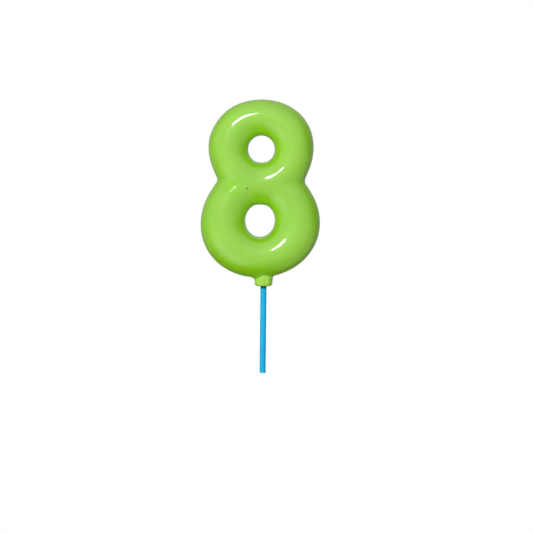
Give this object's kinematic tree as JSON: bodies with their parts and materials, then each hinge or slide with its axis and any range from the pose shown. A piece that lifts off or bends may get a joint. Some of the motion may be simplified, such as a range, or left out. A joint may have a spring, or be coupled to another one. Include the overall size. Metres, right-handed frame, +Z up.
{
  "type": "number birthday candle",
  "caption": "Glossy green wax candle shaped as an inflated figure eight with two holes, a tapered neck and a thin blue stick that pushes into a cake.",
  "frame": {"origin": "centre of the stick's lower end", "axes": "+Z up along the stick, the figure's front towards -Y and its width along X"},
  "size_m": [0.0567, 0.0218, 0.1299],
  "materials": {
    "core_wax": "cast paraffin wax, pale green, matt",
    "coat_wax": "glossy lime-green overdip, smooth, slightly translucent",
    "neck_wax": "lime-green wax, satin, mottled where it was topped up",
    "stick_plastic": "glossy sky-blue plastic tube",
    "wick_cotton": "braided cotton, waxed"
  },
  "bodies": {
    "root": {"wax_core": "core_wax", "colour_coat": "coat_wax", "neck_plug": "neck_wax", "stick": "stick_plastic", "wick": "wick_cotton"}
  },
  "joints": []
}
